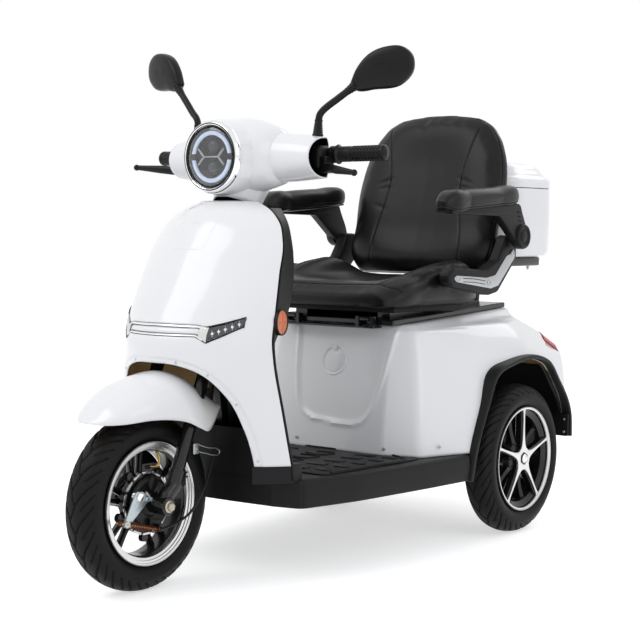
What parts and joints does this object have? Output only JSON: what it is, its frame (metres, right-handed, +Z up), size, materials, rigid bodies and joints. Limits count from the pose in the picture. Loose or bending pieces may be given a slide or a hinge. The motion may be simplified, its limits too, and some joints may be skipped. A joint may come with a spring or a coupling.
{
  "type": "electric mobility scooter",
  "caption": "Electric mobility scooter with a steered front wheel, flat foot deck, padded seat with arms, twin mirrors and a rear top box.",
  "frame": {"origin": "on the ground, under the middle of the length and width", "axes": "+Z up, front towards -Y, the rider's left at +X"},
  "size_m": [0.8342, 1.7575, 1.2628],
  "materials": {
    "white_gloss": "white gloss moulding",
    "black_plastic": "black textured moulding",
    "black_paint": "black satin paint",
    "silver_metal": "satin silver",
    "chrome": "polished",
    "grip_rubber": "black ribbed",
    "tyre_rubber": "black road tyre",
    "leatherette": "black leatherette",
    "clear_lens": "clear lens",
    "red_lens": "red lens",
    "battery_case": "dark plastic case"
  },
  "bodies": {
    "chassis": {"arch_trim_left": "black_plastic", "arch_trim_right": "black_plastic", "battery_pack": "battery_case", "box_rack": "black_paint", "floor_tray": "black_plastic", "frame": "black_paint", "front_apron": "black_plastic", "front_light_bar": "silver_metal", "front_shield": "white_gloss", "leg_panel": "black_plastic", "lid_hinge": "black_paint", "rear_axle": "black_paint", "rear_body": "white_gloss", "seat_stand": "black_paint", "tail_lamp_left": "red_lens", "tail_lamp_right": "red_lens", "top_box": "white_gloss"},
    "steering": {"fork": "black_paint", "front_axle": "silver_metal", "brake_plate": "black_paint", "front_mudguard": "white_gloss", "handlebar": "black_paint", "nacelle": "white_gloss", "headlamp_bezel": "chrome", "headlamp_lens": "clear_lens", "grip_left": "grip_rubber", "grip_right": "grip_rubber", "lever_left": "black_plastic", "lever_right": "black_plastic", "mirror_left": "black_plastic", "mirror_right": "black_plastic"},
    "front_wheel": {"front_tyre": "tyre_rubber", "front_rim": "black_paint"},
    "rear_wheel_left": {"rear_tyre_left": "tyre_rubber", "rear_rim_left": "black_paint"},
    "rear_wheel_right": {"rear_tyre_right": "tyre_rubber", "rear_rim_right": "black_paint"},
    "seat": {"seat_plate": "black_paint", "seat_runners": "black_paint", "seat_cushion": "leatherette", "seat_back": "leatherette", "seat_bracket_left": "black_plastic", "seat_bracket_right": "black_plastic"},
    "armrest_left": {"armrest_left": "black_plastic", "armpad_left": "leatherette"},
    "armrest_right": {"armrest_right": "black_plastic", "armpad_right": "leatherette"},
    "box_lid": {"top_box_lid": "white_gloss"}
  },
  "joints": [
    {"name": "steering_turn", "type": "hinge", "parent": "chassis", "child": "steering", "pos_m": [0, -0.655, 0.2], "axis": [0, 0.4147, 0.91], "range_deg": [-40, 40]},
    {"name": "front_wheel_spin", "type": "hinge", "parent": "steering", "child": "front_wheel", "pos_m": [0, -0.6785, 0.2], "axis": [1, 0, 0], "continuous": true},
    {"name": "rear_wheel_spin_left", "type": "hinge", "parent": "chassis", "child": "rear_wheel_left", "pos_m": [0.308, 0.4385, 0.2], "axis": [1, 0, 0], "continuous": true},
    {"name": "rear_wheel_spin_right", "type": "hinge", "parent": "chassis", "child": "rear_wheel_right", "pos_m": [-0.308, 0.4385, 0.2], "axis": [1, 0, 0], "continuous": true},
    {"name": "seat_lid", "type": "hinge", "parent": "chassis", "child": "seat", "pos_m": [0, 0.016, 0.586], "axis": [1, 0, 0], "range_deg": [0, 35]},
    {"name": "armrest_lift_left", "type": "hinge", "parent": "seat", "child": "armrest_left", "pos_m": [0.291, 0.459, 0.797], "axis": [-1, 0, 0], "range_deg": [0, 90]},
    {"name": "armrest_lift_right", "type": "hinge", "parent": "seat", "child": "armrest_right", "pos_m": [-0.291, 0.459, 0.797], "axis": [-1, 0, 0], "range_deg": [0, 90]},
    {"name": "box_lid_hinge", "type": "hinge", "parent": "chassis", "child": "box_lid", "pos_m": [0, 0.609, 0.935], "axis": [1, 0, 0], "range_deg": [0, 70]}
  ]
}
